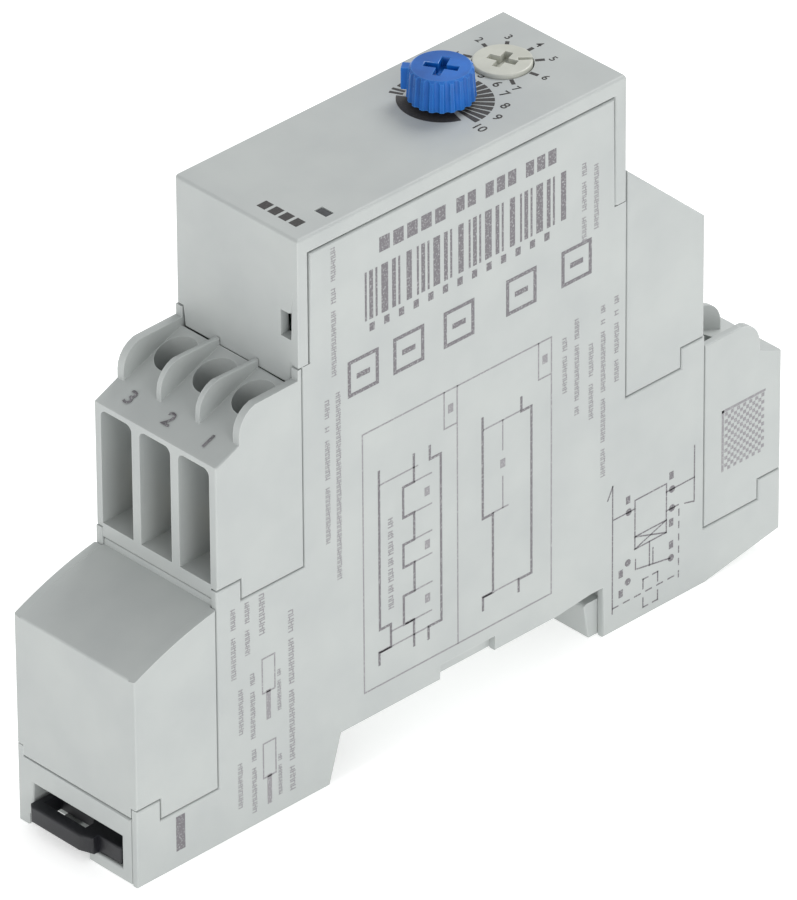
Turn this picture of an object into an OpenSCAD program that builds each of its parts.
// DIN rail timer, one module wide.
// X runs across the rail with the latch end at -X, Y along the rail with the
// label side at -Y, and +Z points out of the front. The origin is on the rail's
// centre line, in the rail seat, at mid width.

/* [Body] */
// Width of the module along the rail
module_width = 17.5; // [17:0.5:24]
// Length of the body across the rail
body_length = 90; // [88:1:112]
// Length of the raised front
front_length = 45; // [40:1:46]
// Height of the front face above the rail seat
front_height = 60; // [58:1:74]
// Depth of the feet below the rail seat
foot_depth = 5.5; // [5.2:0.1:7]
// Thickness of the housing walls
wall = 1.2; // [1:0.1:1.4]
// Thickness of the label cover and of the far side wall
side_wall = 0.9; // [0.8:0.1:1.1]
// Gap at the seams between housing pieces
seam = 0.1; // [0.05:0.05:0.15]
// Depth of the cap's rim on the two sides
cap_rim = 2.1; // [1.8:0.1:3]
// Width of the cap's wraps round the corners of the body
cap_wrap = 1.6; // [1.4:0.1:2]

/* [Rail] */
// Width of the rail
rail_width = 35; // [34:0.5:36]
// Thickness of the rail's flanges
rail_thickness = 1; // [1:0.1:1.3]
// Distance from the rail's centre line to the middle of the body
rail_offset = 1; // [0.5:0.1:1.2]
// How far the fixed hook and the latch reach under the rail
hook_grip = 0.9; // [0.8:0.1:1.2]

/* [Terminals] */
// Height of a terminal block's end face
block_height = 15.6; // [15:0.1:18]
// Height of the upper blocks' underside above the rail seat
upper_block_z = 23.2; // [22.8:0.1:25]
// Height of the lower blocks' underside above the rail seat
lower_block_z = 2.4; // [2.2:0.1:3]
// Width of a wire entry
entry_width = 4.45; // [4.3:0.05:4.6]
// Height of a wire entry
entry_height = 13.3; // [12:0.1:13.4]
// Thickness of the outer walls beside the wire entries
entry_side = 0.95; // [0.9:0.05:1.2]
// Diameter of the screw thread
thread_d = 2.9; // [2.5:0.1:3]
// Diameter of the screw head
head_d = 4.1; // [3.8:0.1:4.2]
// Height of the screw head
head_h = 2.1; // [1.8:0.1:2.4]
// Rise of the clamp cage from open to closed
cage_travel = 2.8; // [2:0.1:2.8]
// Thickness of the terminal bars
bar_t = 0.8; // [0.6:0.1:0.9]

/* [Latch] */
// Thickness of the latch plate
latch_t = 1.95; // [1.7:0.05:2.1]
// Width of the latch plate
latch_w = 11; // [9:0.5:11.5]
// How far the latch loop stands out of the body
latch_out = 1.15; // [1:0.05:2]
// Travel of the latch
latch_travel = 2.4; // [2.2:0.1:3]

/* [Controls] */
// Diameter of the time knob
knob_d = 6.5; // [6:0.1:7]
// Height of the time knob
knob_h = 3.4; // [3:0.1:5]
// Distance of the time knob from the rail's centre line
knob_x = 4.9; // [4:0.1:6]
// Sideways offset of the time knob from mid width
knob_y = 0.5; // [-0.5:0.1:0.8]
// Diameter of the range selector
selector_d = 6.1; // [5.5:0.1:6.4]
// How far the range selector stands out of the front
selector_out = 0.45; // [0.3:0.05:1]
// Distance of the range selector from the rail's centre line
selector_x = 14.3; // [13.6:0.1:15]
// Sideways offset of the range selector from mid width
selector_y = 1.5; // [0:0.1:1.6]

/* [Inside] */
// Thickness of the circuit boards
board_t = 1.6; // [1:0.1:1.6]
// Length of the relay
relay_l = 28.5; // [28:0.5:30]
// Width of the relay
relay_w = 12.6; // [12.4:0.1:13]
// Height of the relay off its board
relay_h = 11.9; // [11.6:0.1:12]
// Swing of the relay's armature, in degrees
armature_swing = 4; // [2:0.5:4]

/* [Hidden] */
$fn = 48;
eps = 0.01;

// Colours of the pieces
light_grey = "#cfd2d0";
black = "#20212b";
blue = "#1f70c4";
ivory = "#d8dad0";
green = "#2f6b45";
steel = "#b9bdc0";
brass = "#c9a650";
copper = "#b87333";

// Length positions
end_l = -body_length / 2 - rail_offset;
end_r = body_length / 2 - rail_offset;
mid_x = -rail_offset;
front_l = mid_x - front_length / 2;
front_r = mid_x + front_length / 2;
step_x = (body_length - front_length) / 4;
// How far a block's side faces run past its step: under the cap or short of it
lap_cap = 0.55;
lap_short = -0.15;
// Width positions
half_w = module_width / 2;
in_label = -half_w + side_wall;
in_far = half_w - side_wall;
// Rail seat, feet and hook
foot_gap = 0.65;
foot_slant = 1.65;
foot_in = -rail_width / 2 - foot_gap;
hook_tip = rail_width / 2 - hook_grip;
hook_lean = 0.7;
hook_top = -rail_thickness - 0.15;
hook_edge = 0.3;
cover_cut_x = rail_width / 2 + 1;
throat_x = cover_cut_x + 0.4;
throat_t = 1.6;
far_foot_x = cover_cut_x + 1.5;
relief_start = rail_width / 2 - 5.5;
relief_h = 0.6;
floor_t = 1.4;
chamfer_l = 10.8;
chamfer_h = 1.8;
corner_shift = 0.2;
notch_x = -0.65;
notch_w = 7.7;
notch_h = 1.8;
// Blocks
label_lap = 1.2;
tab_w = 3.2;
tab_h = 2.4;
floor_slope = 0.39;
wall_top = block_height + 5.2;
fin_start = 3.2;
fin_round = 2.9;
fin_t = 0.6;
blank_corner = block_height + 0.9;
blank_rise = 3.5;
blank_bulge = 0.4;
lip_t = 0.9;
poles = 3;
pitch = (module_width - 2 * entry_side - entry_width) / (poles - 1);
rib = pitch - entry_width;
entry_floor = 1.7;
entry_depth = 4.2;
screw_x = 8.2;
guide_gap = 0.2;
bore_d = head_d + 0.35;
entry_round = 0.8;
cage_floor = 1.2;
ledge_t = 0.7;
// Cap
cap_top_t = 1.6;
cap_z = front_height - cap_rim;
wrap_bottom = upper_block_z + wall_top + 1.3;
cap_end_bottom = upper_block_z + block_height + floor_slope * step_x - 0.3;
slope_end_z = upper_block_z + block_height + 10.1;
window_w = 1.5;
window_h = 3;
window_z = front_height - 11.8;
window_in = 1;
catch_l = 0.8;
catch_play = 0.2;
// Boards
board_far = in_far - 0.9;
board_near = board_far - board_t;
board_l = front_l + 2.1;
board_r = front_r - 1.5;
control_z = front_height - 7.2;
control_t = 1.2;
control_top = control_z + control_t;
board_top = control_z - 0.6;
board_bottom = 2.6;
board_hole_d = 1;
post_d = 3.4;
post_pin_d = 1.7;
board_edge = 2.2;
board_clear = 1.6;
control_side_gap = 0.4;
board_posts = [[board_l + 14, board_top - 8.2], [board_r - 3, board_top - 12.2],
    [end_r - step_x - 3.75, upper_block_z - 3.7], [end_l + step_x + 5.75, board_bottom + 6.4]];
// Pins between the boards
link_n = 6;
link_pitch = 2.54;
link_t = 0.6;
link_y = board_near - 1.6;
function link_x(i) = mid_x - 14 + link_pitch * i;

// Running fit, and play of parts that only lie near each other
fit = 0.05;
loose = 0.15;
// How far a cut runs past a face
over = 1;

// Latch and its slideway
latch_play = 0.1;
latch_z = -foot_depth + floor_t + latch_play;
nose_w = 7;
nose_l = 2.5;
nose_tip = -rail_width / 2 + hook_grip + 0.4;
head_side = 0.65;
head_l = 3.2;
head_inset = 0.2;
loop_x = end_l - latch_out;
loop_y = -1.35;
loop_edge = 0.5;
latch_slot_w = 5.9;
latch_slot_l = 2.1;
latch_slot_in = 0.6;
latch_bar = 1.5;
pocket_roof = -0.3;
stop_w = 2.3;
stop_y = half_w - 4;

// Clamps: the cage, the bar through it and the room for both
cage_gap = 0.1;
cage_bottom_t = 0.6;
cage_top_t = 1.2;
cage_side_t = 0.38;
cage_side_gap = 0.12;
cage_l = 6;
bar_play = 0.6;
bar_z = cage_floor + cage_gap + cage_bottom_t + cage_travel + cage_gap;
cage_h = cage_bottom_t + cage_travel + cage_gap + bar_t + bar_play + cage_top_t;
cage_roof = cage_floor + cage_gap + cage_h + cage_travel + 2 * cage_gap;
screw_seat = cage_roof + ledge_t + 0.1;
screw_slot_l = 0.7 * head_d;
screw_slot_w = 0.7;
screw_slot_h = 1.2;
bar_tail_w = 1.2;
pin_out = 0.6;
function bar_reach(i) = step_x + 4 + (poles - 1 - i) * 2.2;

// Controls
stem_d = 3;
stem_gap = 0.3;
rotor_d = 4.6;
rotor_h = 2.6;
rotor_z = control_top + 0.5;
pot_size = 6.6;
switch_size = 7;
knob_gap = 0.65;
knob_flare = 0.5;
knob_lip = 0.25;
knob_slot_l = 0.55 * knob_d;
knob_slot_w = 0.8;
knob_slot_h = 1.1;
flutes = 20;
flute_d = 0.74;
flute_out = 0.15;
pointer_w = 1.1;
pointer_out = 0.75;
pointer_z = 0.7;
pointer_h = 2.5;
knob_angle = 128;
knob_cross = -8;
selector_gap = 0.15;
selector_slot_l = 0.52 * selector_d;
selector_slot_w = 0.9;
selector_slot_h = 0.9;
selector_angle = -40;
selector_cross = 60;
notch_l = 1.5;
notch_t = 0.5;
led_x = front_l + 5.7;
led_y = -half_w + 2.2;
led_l = 1;
led_w = 1.6;
led_h = 0.8;
light_pipe_inset = 0.1;

// Relay
relay_x = mid_x - 14.5;
relay_z = 4.4;
relay_top = board_near - relay_h;
case_t = 0.7;
plate_y = board_near - 1.7;
coil_y = (relay_top + plate_y) / 2;
coil_z = relay_z + 5.6;
coil_d = 7.6;
flange = 8.4;
flange_t = 0.8;
spool_wall = 0.7;
spool_l = 13;
spool_x = relay_x + 3;
core_d = 2.6;
pole_d = 5;
pole_t = 0.7;
pole_x = spool_x + spool_l + 0.9;
hinge_z = relay_z + relay_w - case_t - 1;
air_gap = 0.75;
yoke_t = 1;
yoke_w = 6.8;
yoke_x = spool_x - 1.4;
yoke_gap = 0.3;
armature_x = pole_x + air_gap;
armature_t = 0.9;
armature_w = 6.4;
blade_x = armature_x + armature_t;
blade_t = 0.25;
blade_w = 3.2;
blade_short = 1.5;
contact_d = 1.6;
contact_t = 0.5;
contact_z = relay_z + 1.9;
strip_t = 0.4;
swing_x = (hinge_z - contact_z) * sin(armature_swing);
relay_pin_d = 0.7;
relay_pin_hole_d = 1.1;
relay_pin_places = [[relay_x + 2.2, relay_z + 2], [relay_x + 2.2, relay_z + relay_w - 2],
    [relay_x + relay_l - 2, relay_z + 2], [relay_x + relay_l - 7, relay_z + 2],
    [relay_x + relay_l - 4.5, relay_z + relay_w - 2]];

// Other parts on the main board, above the relay
above_relay = relay_z + relay_w;
box_x = mid_x - 11;
box_gap = 1.2;
box_l = 18;
box_w = 7;
box_h = 10.5;
can_x = mid_x + 13;
can_z = above_relay + 5.6;
can_d = 8;
can_h = 11.4;
can_groove = 0.8;
disc_x = mid_x + 14;
disc_y = board_near - 4.6;
disc_z = above_relay + 14.2;
disc_d = 7;
disc_t = 3.2;
lead_t = 0.6;
lead_in = 2;
lead_l = 2.6;
lead_offset = 2.2;
chip_x = mid_x - 5;
chip_z = above_relay + 12;
chip_l = 10;
chip_w = 4;
chip_h = 1.6;
leg_w = 0.42;
leg_l = 1;
leg_in = 0.1;
leg_start = 0.4;
legs = 8;
diodes = 4;
diode_x = mid_x - 6;
diode_z = control_z - 6.4;
diode_pitch = 5.2;
diode_d = 2.6;
diode_l = 4;
diode_wire_d = 0.8;
diode_wire_out = 0.5;
resistor_n = 6;
resistor_x = mid_x - 15.5;
resistor_z = above_relay + 18.6;
resistor_pitch = 4.6;
resistor_l = 3.2;
resistor_w = 1.6;
resistor_t = 0.6;

function backwards(v) = [for (i = [len(v) - 1:-1:0]) v[i]];

// Points of a quarter round from vertical to level, ending at its top.
function round_up(x, z, r) = [for (a = [0:15:90]) [x + r * (1 - cos(a)), z + r * sin(a)]];

// Points of a slightly crowned slope of length l that starts at height z.
function crown_points(l, z, rise, bulge) = [for (t = [0:1 / 8:1])
    [l * t, z + rise * t + bulge * 4 * t * (1 - t)]];

// Extrudes an outline drawn in X and Z from y0 to y1.
module slab(y0, y1)
    translate([0, y1, 0])
        rotate([90, 0, 0])
            linear_extrude(y1 - y0) children();

// A box given by its two corners.
module block(a, b) translate(a) cube(b - a);

// Draws its children at a block's place: the end face at x = 0, growing inwards.
module at_upper_left() translate([end_l + step_x, 0, upper_block_z]) children();
module at_lower_left() translate([end_l, 0, lower_block_z]) children();
module at_upper_right()
    translate([end_r - step_x, 0, upper_block_z]) mirror([1, 0, 0]) children();
module at_lower_right()
    translate([end_r, 0, lower_block_z]) mirror([1, 0, 0]) children();

// ---- Housing ----

// Points up the right side of the body's outline, mirrored for the left.
function right_side(lap) = [
    [end_r, lower_block_z + tab_h - label_lap],
    [end_r - tab_w, lower_block_z + tab_h - label_lap],
    [end_r - tab_w, lower_block_z - label_lap],
    [end_r - step_x - lap_short, lower_block_z - label_lap],
    [end_r - step_x - lap_short, upper_block_z + tab_h - label_lap],
    [end_r - step_x - tab_w, upper_block_z + tab_h - label_lap],
    [end_r - step_x - tab_w, upper_block_z - label_lap],
    [front_r - lap, upper_block_z - label_lap],
    [front_r - lap, wrap_bottom],
    [front_r - cap_wrap, wrap_bottom],
    [front_r - cap_wrap, cap_z]];

function mirrored(points) = [for (i = [len(points) - 1:-1:0])
    [2 * mid_x - points[i][0], points[i][1]]];

// Outline of the label cover and of the far side wall.
module side_outline(notched) {
    bottom = [
        [end_l, -foot_depth],
        [foot_in - foot_slant, -foot_depth],
        [foot_in, 0],
        [relief_start, 0],
        [hook_tip, relief_h],
        [cover_cut_x, relief_h],
        [cover_cut_x, -foot_depth],
        [end_r - chamfer_l, -foot_depth],
        [end_r, -foot_depth + chamfer_h]];
    difference() {
        polygon(concat(bottom, right_side(lap_short), mirrored(right_side(lap_cap))));
        if (notched)
            translate([notch_x - notch_w / 2, -over])
                square([notch_w, notch_h + over]);
    }
}

module side_cover() color(light_grey) {
    slab(-half_w, in_label) side_outline(true);
    // Catches that lie in the cap's windows
    for (s = [0, 1])
        translate([mid_x, 0, 0]) mirror([s, 0, 0])
            translate([-front_length / 2 + wall + seam, in_label, window_z + catch_play])
                cube([catch_l, window_w + catch_play / 2, window_h - 3 * catch_play]);
}

module latch_channel() {
    bottom = -foot_depth + floor_t;
    head_w = latch_w + 2 * head_side;
    // Slideway of the latch plate
    block([end_l + head_l + 2 * loose, -latch_w / 2 - loose, bottom],
          [foot_in + over, latch_w / 2 + loose, latch_z + latch_t + 2 * loose]);
    // Slideway of the latch nose, as long as its travel needs
    block([foot_in - nose_l - latch_travel - 4 * loose, -nose_w / 2 - loose, bottom],
          [foot_in + over, nose_w / 2 + loose, hook_top + 3 * loose]);
    // Pocket in the end face
    block([end_l - over, -head_w / 2 - 2 * loose, bottom],
          [end_l + head_l + 2 * loose + eps, head_w / 2 + 2 * loose, pocket_roof]);
    // Opening below the loop
    block([end_l - over, loop_y - 2 * loose, -foot_depth - over],
          [end_l + head_l + 2 * loose + eps, half_w - 5 * head_side / 2, bottom + eps]);
}

module fixed_hook() {
    slab(in_label, in_far) polygon([
        [hook_tip + hook_lean, -foot_depth],
        [hook_tip, hook_top - hook_edge],
        [hook_tip + hook_edge, hook_top],
        [throat_x, hook_top],
        [throat_x, floor_t],
        [throat_x + throat_t, floor_t],
        [throat_x + throat_t, -foot_depth]]);
}

module base_housing() color(light_grey) {
    slab(in_far, half_w) side_outline(false);
    difference() {
        union() {
            // Rail seat, set back over the latch nose and the hook
            slab(in_label, in_far) polygon([
                [foot_in - over, relief_h], [nose_tip + 2 * loose, relief_h],
                [nose_tip + 2 * loose, 0], [relief_start, 0], [hook_tip, relief_h],
                [cover_cut_x + over, relief_h], [cover_cut_x + over, floor_t + relief_h],
                [foot_in - over, floor_t + relief_h]]);
            // Foot at the latch end, solid round the slideway
            slab(in_label, in_far) polygon([
                [end_l, -foot_depth], [foot_in - foot_slant, -foot_depth],
                [foot_in, 0], [foot_in, floor_t + relief_h], [end_l + wall, floor_t],
                [end_l + wall, lower_block_z - seam], [end_l, lower_block_z - seam]]);
        }
        latch_channel();
    }
    // Stop that a screwdriver levers against
    block([end_l + wall, stop_y - stop_w, -foot_depth],
          [end_l + head_l + 4 * loose, stop_y, latch_z - 2 * loose]);
    fixed_hook();
    // Foot and end wall at the far end
    slab(in_label, in_far) polygon([
        [far_foot_x, -foot_depth], [end_r - chamfer_l, -foot_depth],
        [end_r, -foot_depth + chamfer_h], [end_r, lower_block_z - seam],
        [end_r - wall, lower_block_z - seam],
        [end_r - wall, -foot_depth + chamfer_h + floor_t],
        [end_r - chamfer_l - corner_shift, -foot_depth + floor_t],
        [far_foot_x, -foot_depth + floor_t]]);
    // Posts that carry the main board, with pins through it
    for (p = board_posts)
        translate([p[0], in_far + eps, p[1]]) rotate([90, 0, 0]) {
            cylinder(d = post_d, h = in_far - board_far + eps);
            cylinder(d = post_pin_d, h = in_far - board_near + pin_out);
        }
}

module front_cap() color(light_grey) difference() {
    union() {
        // Front plate and its rims
        block([front_l, -half_w, front_height - cap_top_t],
              [front_r, half_w, front_height]);
        for (y = [-half_w, in_far])
            block([front_l, y, cap_z + seam], [front_r, y + side_wall, front_height]);
        for (s = [0, 1]) translate([mid_x, 0, 0]) mirror([s, 0, 0])
            translate([-mid_x, 0, 0]) {
                // End wall with its wraps round both corners
                block([front_l, -half_w, wrap_bottom + seam],
                      [front_l + wall, half_w, front_height]);
                for (y = [-half_w, in_far])
                    block([front_l, y, wrap_bottom + seam],
                          [front_l + cap_wrap - seam, y + side_wall, front_height]);
                // Tongue that goes down behind the block
                block([front_l, in_label + seam, cap_end_bottom],
                      [front_l + wall, in_far - seam, front_height]);
            }
    }
    // Windows for the catches
    for (s = [0, 1]) translate([mid_x, 0, 0]) mirror([s, 0, 0])
        translate([-mid_x, 0, 0])
            block([front_l - over, -half_w + window_in, window_z],
                  [front_l + wall + eps, -half_w + window_in + window_w, window_z + window_h]);
    // Holes of the knob's stem, the selector and the light pipe
    hole_z = front_height - cap_top_t - over;
    hole_h = cap_top_t + 2 * over;
    translate([knob_x, knob_y, hole_z]) cylinder(d = stem_d + 2 * stem_gap, h = hole_h);
    translate([selector_x, selector_y, hole_z])
        cylinder(d = selector_d + 2 * selector_gap, h = hole_h);
    translate([led_x - led_l / 2 - fit, led_y - led_w / 2 - fit, hole_z])
        cube([led_l + 2 * fit, led_w + 2 * fit, hole_h]);
}

// Side faces of a block, with the step that the cover's tab fills.
module block_side(lap, top)
    for (y = [-half_w, in_far])
        slab(y, y + side_wall) polygon(concat([
            [0, tab_h - label_lap + seam],
            [tab_w + seam, tab_h - label_lap + seam],
            [tab_w + seam, -label_lap + seam],
            [step_x + lap - seam, -label_lap + seam]], top));

module terminal_block(lap) color(light_grey) difference() {
    fin_z = wall_top - fin_round;
    fin_outline = concat(
        [[step_x - seam, 0], [0, 0], [0, block_height],
         [fin_start, block_height + floor_slope * fin_start]],
        round_up(fin_start, fin_z, fin_round), [[step_x - seam, wall_top]]);
    union() {
        // Body under the sloping label floor
        slab(in_label, in_far) polygon([
            [0, 0], [0, block_height],
            [step_x - seam, block_height + floor_slope * (step_x - seam)],
            [step_x - seam, 0]]);
        // Fins between the terminals
        for (i = [1:poles - 1])
            translate([0, -half_w + entry_side + i * pitch - rib / 2, 0])
                slab(-fin_t / 2, fin_t / 2) polygon(fin_outline);
        // Side walls, which run under the cap where they lap it
        block_side(lap, concat(
            lap < 0 ? [] : [[step_x + lap - seam, wall_top + 1.2],
                            [step_x - seam, wall_top + 1.2]],
            [[step_x + min(lap, 0) - seam, wall_top]],
            backwards(round_up(fin_start, fin_z, fin_round)),
            [[fin_start, block_height + floor_slope * fin_start], [0, block_height]]));
    }
    for (i = [0:poles - 1])
        translate([0, (i - (poles - 1) / 2) * pitch, 0]) {
            w = entry_width / 2;
            // Wire entry, with rounded upper corners
            r = entry_round;
            block([-over, -w, entry_floor],
                  [entry_depth, w, entry_floor + entry_height - r]);
            block([-over, -w + r, entry_floor],
                  [entry_depth, w - r, entry_floor + entry_height]);
            for (y = [-w + r, w - r])
                translate([-over, y, entry_floor + entry_height - r])
                    rotate([0, 90, 0]) cylinder(r = r, h = entry_depth + over);
            // Room for the cage, open at the inner side
            block([entry_depth - eps, -w, cage_floor], [step_x + over, w, cage_roof]);
            // Screw guide with the ledge under the head
            translate([screw_x, 0, 0]) {
                cylinder(d = thread_d + 2 * guide_gap, h = 2 * block_height);
                translate([0, 0, cage_roof + ledge_t])
                    cylinder(d = bore_d, h = 2 * block_height);
            }
        }
}

module blank_block_lower() color(light_grey) at_lower_left() {
    crown = crown_points(step_x - seam, blank_corner, blank_rise, blank_bulge);
    crown_side = crown_points(step_x + lap_short - seam, blank_corner, blank_rise, blank_bulge);
    crown_top = blank_corner + blank_rise;
    difference() {
        slab(in_label, in_far)
            polygon(concat([[step_x - seam, 0], [0, 0]], crown));
        slab(in_label, in_far)
            polygon([[wall, wall], [wall, blank_corner - wall],
                [step_x + over, crown_top - wall], [step_x + over, wall]]);
    }
    // Lip that closes the gap under the upper block
    slab(in_label + seam, in_far - seam) polygon([
        [step_x - wall, crown_top - wall], [step_x - seam, crown_top],
        [step_x + seam, crown_top],
        [step_x + seam, upper_block_z - lower_block_z - seam],
        [step_x + seam + lip_t, upper_block_z - lower_block_z - seam],
        [step_x + seam + lip_t, crown_top - wall]]);
    block_side(lap_short, concat(
        [[step_x + lap_short - seam, crown_top]], backwards(crown_side)));
}

module blank_block_upper() color(light_grey) at_upper_right() {
    top = slope_end_z - upper_block_z;
    difference() {
        slab(in_label, in_far) polygon([
            [0, 0], [0, block_height], [step_x - seam, top], [step_x - seam, 0]]);
        slab(in_label, in_far) polygon([
            [wall, wall], [wall, block_height - wall / 2],
            [step_x + over, block_height + floor_slope * step_x - wall],
            [step_x + over, wall]]);
    }
    block_side(lap_short,
        [[step_x + lap_short - seam, top + lap_short], [0, block_height]]);
}

// ---- Rail latch ----

module rail_latch() color(black) {
    head_w = latch_w + 2 * head_side;
    far = head_w / 2;
    slot_x = loop_x + latch_bar;
    slot_y = loop_y + latch_slot_in;
    difference() {
        union() {
            // Plate in the slideway
            block([end_l + head_inset, -latch_w / 2, latch_z],
                  [foot_in - nose_l + over, latch_w / 2, latch_z + latch_t]);
            // Loop outside, with its chamfered end
            translate([0, 0, latch_z]) linear_extrude(latch_t) polygon([
                [loop_x, loop_y], [loop_x, far - loop_edge], [loop_x + loop_edge, far],
                [end_l + head_l, far], [end_l + head_l, -far],
                [end_l + head_inset, -far], [end_l + head_inset, loop_y - 3 * loop_edge],
                [loop_x + loop_edge, loop_y - 3 * loop_edge]]);
        }
        // Slot for a screwdriver, with one corner cut off
        translate([0, 0, latch_z - over]) linear_extrude(latch_t + 2 * over) polygon([
            [slot_x, slot_y], [slot_x, slot_y + latch_slot_w],
            [slot_x + latch_slot_l, slot_y + latch_slot_w],
            [slot_x + latch_slot_l, slot_y + 2 * loop_edge],
            [slot_x + 2 * loop_edge, slot_y]]);
        // Window that lightens the plate
        block([end_l + 2.5 * head_l, -latch_w / 4, latch_z - over],
              [foot_in - 3 * nose_l, latch_w / 4, latch_z + latch_t + over]);
    }
    // Nose that holds the rail, with a lead-in below
    slab(-nose_w / 2, nose_w / 2) polygon([
        [foot_in - nose_l, latch_z], [nose_tip - 1.6, latch_z],
        [nose_tip, hook_top - latch_bar / 2], [nose_tip, hook_top],
        [foot_in - nose_l + loop_edge, hook_top]]);
}

// ---- Terminals ----

// Screw number i of a block: 0 is next to the label side.
module terminal_screw(i) color(steel) {
    tip = bar_z + bar_t + fit;
    translate([screw_x, (i - (poles - 1) / 2) * pitch, 0]) {
        difference() {
            translate([0, 0, screw_seat]) cylinder(d = head_d, h = head_h);
            // Cross slot
            for (a = [0, 90]) rotate([0, 0, a])
                translate([0, 0, screw_seat + head_h])
                    cube([screw_slot_l, screw_slot_w, 2 * screw_slot_h], center = true);
        }
        translate([0, 0, tip]) cylinder(d = thread_d, h = screw_seat - tip + eps);
    }
}

module clamp_cage(i) color(steel) {
    outer = entry_width / 2 - cage_side_gap;
    inner = outer - cage_side_t;
    z0 = cage_floor + cage_gap;
    translate([screw_x, (i - (poles - 1) / 2) * pitch, 0]) difference() {
        block([-cage_l / 2, -outer, z0], [cage_l / 2, outer, z0 + cage_h]);
        block([-cage_l, -inner, z0 + cage_bottom_t],
              [cage_l, inner, z0 + cage_h - cage_top_t]);
        translate([0, 0, z0 + cage_bottom_t + fit])
            cylinder(d = thread_d + 2 * fit, h = cage_h);
    }
}

// Terminal bar: strip through the cage, tail inwards and pin into the board.
module terminal_bar(i, reach) color(brass) {
    yc = (i - (poles - 1) / 2) * pitch;
    bar_w = entry_width - 4 * cage_side_t;
    strip_y = yc - bar_w / 2;
    // The tail stays on its own side of the board
    tail_y = min(strip_y, board_near - bar_tail_w);
    block([entry_depth + bar_play, strip_y, bar_z],
          [step_x + bar_tail_w, yc + bar_w / 2, bar_z + bar_t]);
    block([step_x, tail_y, bar_z], [reach, tail_y + bar_tail_w, bar_z + bar_t]);
    block([reach - bar_tail_w, tail_y, bar_z], [reach, board_far + pin_out, bar_z + bar_t]);
}

// ---- Boards ----

module main_board() color(green) difference() {
    slab(board_near, board_far) polygon([
        [end_l + step_x + board_edge, board_bottom],
        [end_r - step_x - board_clear, board_bottom],
        [end_r - step_x - board_clear, upper_block_z - board_clear],
        [board_r, upper_block_z - board_clear], [board_r, board_top], [board_l, board_top],
        [board_l, upper_block_z - board_clear],
        [end_l + step_x + board_edge, upper_block_z - board_clear]]);
    for (p = board_posts)
        translate([p[0], board_far + over, p[1]]) rotate([90, 0, 0])
            cylinder(d = post_pin_d + 2 * fit, h = board_t + 2 * over);
    // Slots of the terminal bars' pins
    at_upper_left() bar_slots();
    at_lower_right() bar_slots();
    // Holes of the relay's pins
    for (p = relay_pin_places)
        translate([p[0], board_far + over, p[1]]) rotate([90, 0, 0])
            cylinder(d = relay_pin_hole_d, h = board_t + 2 * over);
}

module bar_slots()
    for (i = [0:poles - 1])
        block([bar_reach(i) - bar_tail_w - loose, board_near - over, bar_z - loose],
              [bar_reach(i) + loose, board_far + over, bar_z + bar_t + loose]);

module control_board() color(green) difference() {
    block([board_l, in_label + control_side_gap, control_z], [board_r, board_far, control_top]);
    for (i = [0:link_n - 1])
        translate([link_x(i), link_y, control_z - over])
            cylinder(d = board_hole_d, h = control_t + 2 * over);
}

module board_link_pins() color(brass)
    for (i = [0:link_n - 1]) {
        low = control_z - 5 * link_t;
        translate([link_x(i) - link_t / 2, link_y - link_t / 2, low])
            cube([link_t, link_t, control_top + link_t - low]);
        translate([link_x(i) - link_t / 2, link_y - link_t / 2, low])
            cube([link_t, board_near - link_y + link_t / 2, link_t]);
    }

// ---- Controls ----

module time_knob() color(blue) translate([knob_x, knob_y, 0]) {
    z0 = front_height + knob_gap;
    foot_r = (knob_d + knob_flare) / 2;
    lean = atan(knob_flare / 2 / knob_h);
    difference() {
        union() {
            translate([0, 0, z0])
                cylinder(r1 = foot_r, r2 = foot_r - (knob_h - knob_lip) * tan(lean),
                         h = knob_h - knob_lip);
            translate([0, 0, z0 + knob_h - knob_lip])
                cylinder(r1 = foot_r - (knob_h - knob_lip) * tan(lean),
                         r2 = knob_d / 2 - knob_lip, h = knob_lip);
            // Pointer rib on the side
            rotate([0, 0, knob_angle]) translate([0, -pointer_w / 2, z0 + pointer_z])
                cube([knob_d / 2 + pointer_out, pointer_w, pointer_h]);
        }
        // Flutes that lean with the side, with none where the pointer is
        for (i = [1:flutes - 1]) rotate([0, 0, knob_angle + 360 * i / flutes])
            translate([foot_r + flute_out, 0, z0]) rotate([0, -lean, 0])
                translate([0, 0, -over]) cylinder(d = flute_d, h = knob_h + 2 * over, $fn = 24);
        // Cross recess
        for (a = [0, 90]) rotate([0, 0, knob_angle + knob_cross + a])
            translate([0, 0, z0 + knob_h])
                cube([knob_slot_l, knob_slot_w, 2 * knob_slot_h], center = true);
    }
    translate([0, 0, rotor_z]) cylinder(d = stem_d, h = z0 - rotor_z + eps);
}

// Ring on the stem of a control.
module rotor() translate([0, 0, rotor_z]) difference() {
    cylinder(d = rotor_d, h = rotor_h);
    translate([0, 0, -over]) cylinder(d = stem_d, h = rotor_h + 2 * over);
}

// Open-topped body that a rotor turns in.
module rotary_body(size) difference() {
    block([-size / 2, -size / 2, control_top],
          [size / 2, size / 2, rotor_z + rotor_h + 4 * fit]);
    translate([0, 0, rotor_z - 2 * fit])
        cylinder(d = rotor_d + 2 * fit, h = rotor_h + over);
}

module pot_rotor() color(ivory) translate([knob_x, knob_y, 0]) rotor();
module pot_body() color(black) translate([knob_x, knob_y, 0]) rotary_body(pot_size);
module range_wiper() color(brass) translate([selector_x, selector_y, 0]) rotor();
module range_switch_body() color(black)
    translate([selector_x, selector_y, 0]) rotary_body(switch_size);

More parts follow.
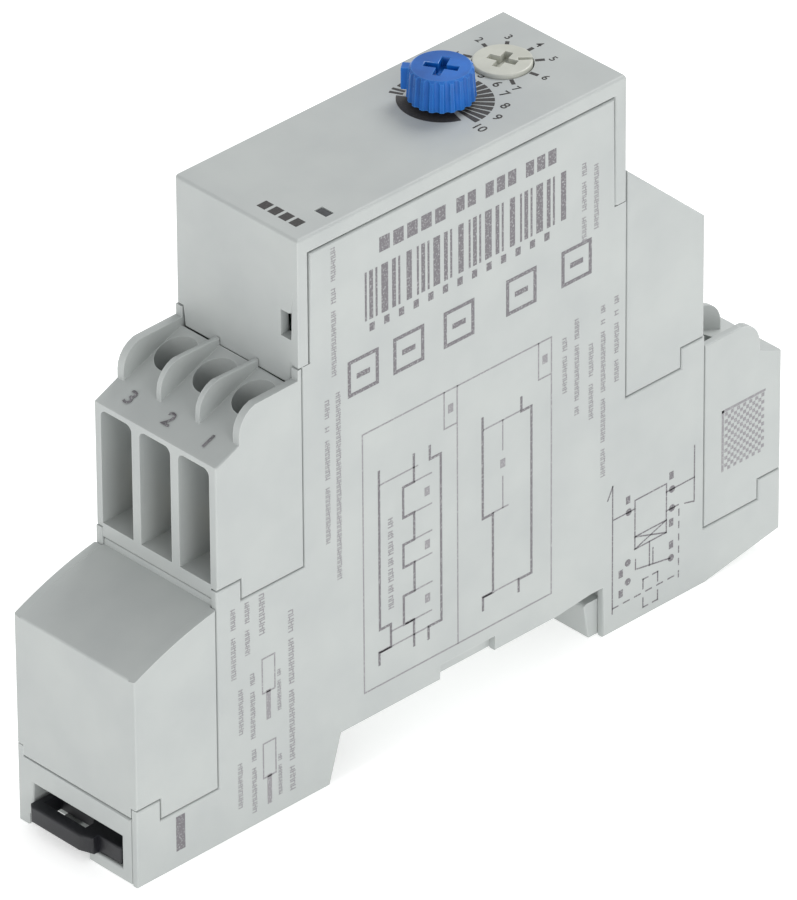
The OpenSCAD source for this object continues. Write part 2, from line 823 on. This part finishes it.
module range_selector() color(ivory) translate([selector_x, selector_y, 0]) {
    top = front_height + selector_out;
    low = front_height - cap_top_t;
    difference() {
        translate([0, 0, low]) cylinder(d = selector_d, h = top - low);
        // Cross slot
        for (a = [0, 90]) rotate([0, 0, selector_angle + selector_cross + a])
            translate([0, 0, top])
                cube([selector_slot_l, selector_slot_w, 2 * selector_slot_h], center = true);
        // Pointer notch that runs in from the rim
        rotate([0, 0, selector_angle])
            translate([selector_d / 2 - notch_l, -notch_t / 2, top - notch_t])
                cube([notch_l + over, notch_t, over]);
    }
    translate([0, 0, rotor_z]) cylinder(d = stem_d, h = low - rotor_z + eps);
}

module status_led() color("#c33c2e")
    translate([led_x - led_l, led_y - led_w / 2, control_top])
        cube([2 * led_l, led_w, led_h]);

module light_pipe() color("#3a3f44") {
    z0 = control_top + led_h;
    collar = led_w - 2 * light_pipe_inset;
    translate([led_x - led_l / 2, led_y - led_w / 2, z0])
        cube([led_l, led_w, front_height - light_pipe_inset - z0]);
    translate([led_x - led_l, led_y - collar / 2, front_height - cap_top_t - led_l])
        cube([2 * led_l, collar, led_l]);
}

// ---- Relay ----

module relay_base() color("#3b4a5c") difference() {
    block([relay_x + case_t + fit, plate_y, relay_z + case_t + fit],
          [relay_x + relay_l - case_t - fit, board_near - 2 * fit,
           relay_z + relay_w - case_t - fit]);
    for (p = relay_pin_places)
        translate([p[0], board_near + over, p[1]]) rotate([90, 0, 0])
            cylinder(d = relay_pin_d, h = board_near - plate_y + 2 * over);
}

module relay_case() color("#4a5c70") difference() {
    block([relay_x, relay_top, relay_z],
          [relay_x + relay_l, board_near - 2 * fit, relay_z + relay_w]);
    block([relay_x + case_t, relay_top + case_t, relay_z + case_t],
          [relay_x + relay_l - case_t, board_near + over, relay_z + relay_w - case_t]);
}

// A cylinder along X on the axis of the relay's coil.
module coil_rod(d, x0, x1)
    translate([x0, coil_y, coil_z]) rotate([0, 90, 0]) cylinder(d = d, h = x1 - x0);

module relay_bobbin() color(black) difference() {
    union() {
        coil_rod(core_d + 2 * spool_wall, spool_x, spool_x + spool_l);
        for (x = [spool_x, spool_x + spool_l - flange_t])
            translate([x, coil_y - flange / 2, coil_z - flange / 2])
                cube([flange_t, flange, flange]);
    }
    coil_rod(core_d + 2 * fit, spool_x - over, spool_x + spool_l + over);
}

module relay_coil() color(copper) difference() {
    coil_rod(coil_d, spool_x + flange_t + fit, spool_x + spool_l - flange_t - fit);
    coil_rod(core_d + 2 * spool_wall + 2 * fit, spool_x, spool_x + spool_l);
}

module relay_core() color(steel) {
    coil_rod(core_d, yoke_x, pole_x);
    coil_rod(pole_d, pole_x - pole_t, pole_x);
}

module relay_yoke() color(steel) {
    difference() {
        block([yoke_x, coil_y - yoke_w / 2, coil_z - core_d],
              [yoke_x + yoke_t, coil_y + yoke_w / 2, hinge_z]);
        coil_rod(core_d, yoke_x - over, spool_x);
    }
    block([yoke_x, coil_y - yoke_w / 2, hinge_z - yoke_t],
          [armature_x - yoke_gap, coil_y + yoke_w / 2, hinge_z]);
}

module relay_armature() color(steel)
    block([armature_x, coil_y - armature_w / 2, contact_z + contact_d / 2 + blade_t],
          [armature_x + armature_t, coil_y + armature_w / 2, hinge_z]);

module relay_contact_blade() color(brass) {
    block([blade_x, coil_y - blade_w / 2, contact_z - contact_d / 2],
          [blade_x + blade_t, coil_y + blade_w / 2, hinge_z - blade_short]);
    translate([blade_x - contact_t, coil_y, contact_z]) rotate([0, 90, 0])
        cylinder(d = contact_d, h = blade_t + 2 * contact_t);
}

// Fixed contact: a strip standing on the base with a button facing the blade.
module fixed_contact(x, side) color(brass) {
    block([x, coil_y - blade_w / 2, contact_z - contact_d / 2 - fit],
          [x + strip_t, plate_y, contact_z + contact_d / 2 + 2 * fit]);
    translate([x + side * strip_t, coil_y, contact_z]) rotate([0, 90, 0])
        cylinder(d = contact_d, h = strip_t);
}

module relay_make_contact()
    fixed_contact(blade_x - contact_t - swing_x - 2 * strip_t - 2 * fit, 1);

module relay_break_contact()
    fixed_contact(blade_x + blade_t + contact_t + strip_t + 2 * fit, -1);

module relay_pins() color(brass)
    for (p = relay_pin_places)
        translate([p[0], board_far + pin_out, p[1]]) rotate([90, 0, 0])
            cylinder(d = relay_pin_d, h = board_far + pin_out - plate_y);

// ---- Other parts on the main board ----

module supply_capacitor() color("#d7b23c") 
    translate([box_x, 0, above_relay + box_gap])
    block([0, board_near - box_h, 0], [box_l, board_near, box_w]);

module smoothing_capacitor() color("#2b3550")
    translate([can_x, board_near, can_z]) rotate([90, 0, 0]) difference() {
        cylinder(d = can_d, h = can_h);
        // Groove near the can's end
        translate([0, 0, can_h - 2 * can_groove]) difference() {
            cylinder(d = can_d + over, h = can_groove);
            translate([0, 0, -over]) cylinder(d = can_d - can_groove, h = 3 * over);
        }
    }

module varistor() color("#2f62a8")
    translate([disc_x, disc_y, disc_z]) {
        rotate([0, 90, 0]) cylinder(d = disc_d, h = disc_t);
        for (z = [-lead_offset, lead_offset])
            translate([(disc_t - lead_t) / 2, lead_in, z - lead_t / 2])
                cube([lead_t, lead_l, lead_t]);
    }

module timer_chip() color(black) translate([chip_x, 0, chip_z]) {
    block([0, board_near - chip_h - loose, 0], [chip_l, board_near - loose, chip_w]);
    for (i = [0:legs - 1]) for (z = [leg_in - leg_l, chip_w - leg_in])
        translate([leg_start + link_pitch / 2 * i, board_near - resistor_t, z])
            cube([leg_w, resistor_t, leg_l]);
}

module rectifier_diodes() color(black)
    for (i = [0:diodes - 1])
        translate([diode_x + i * diode_pitch, board_near - diode_d / 2 - 2 * fit, diode_z])
            rotate([0, 90, 0]) {
                cylinder(d = diode_d, h = diode_l);
                translate([0, 0, -diode_wire_out])
                    cylinder(d = diode_wire_d, h = diode_l + 2 * diode_wire_out);
            }

module resistors() color("#26282c")
    for (i = [0:resistor_n - 1])
        translate([resistor_x + resistor_pitch * i, board_near - resistor_t, resistor_z])
            cube([resistor_l, resistor_t, resistor_w]);

// ---- Assembly ----

base_housing();
side_cover();
front_cap();
at_upper_left() terminal_block(lap_cap);  // terminal_block_upper
at_lower_right() terminal_block(lap_short);  // terminal_block_lower
blank_block_upper();
blank_block_lower();
rail_latch();
time_knob();
pot_rotor();
pot_body();
range_selector();
range_wiper();
range_switch_body();
light_pipe();
status_led();
main_board();
control_board();
board_link_pins();
relay_base();
relay_case();
relay_bobbin();
relay_coil();
relay_core();
relay_yoke();
relay_armature();
relay_contact_blade();
relay_make_contact();
relay_break_contact();
relay_pins();
supply_capacitor();
smoothing_capacitor();
varistor();
timer_chip();
rectifier_diodes();
resistors();
at_upper_left() terminal_screw(0);  // terminal_screw_1
at_upper_left() terminal_screw(1);  // terminal_screw_2
at_upper_left() terminal_screw(2);  // terminal_screw_3
at_lower_right() terminal_screw(0);  // terminal_screw_4
at_lower_right() terminal_screw(1);  // terminal_screw_5
at_lower_right() terminal_screw(2);  // terminal_screw_6
at_upper_left() clamp_cage(0);  // clamp_cage_1
at_upper_left() clamp_cage(1);  // clamp_cage_2
at_upper_left() clamp_cage(2);  // clamp_cage_3
at_lower_right() clamp_cage(0);  // clamp_cage_4
at_lower_right() clamp_cage(1);  // clamp_cage_5
at_lower_right() clamp_cage(2);  // clamp_cage_6
at_upper_left() terminal_bar(0, bar_reach(0));  // terminal_bar_1
at_upper_left() terminal_bar(1, bar_reach(1));  // terminal_bar_2
at_upper_left() terminal_bar(2, bar_reach(2));  // terminal_bar_3
at_lower_right() terminal_bar(0, bar_reach(0));  // terminal_bar_4
at_lower_right() terminal_bar(1, bar_reach(1));  // terminal_bar_5
at_lower_right() terminal_bar(2, bar_reach(2));  // terminal_bar_6
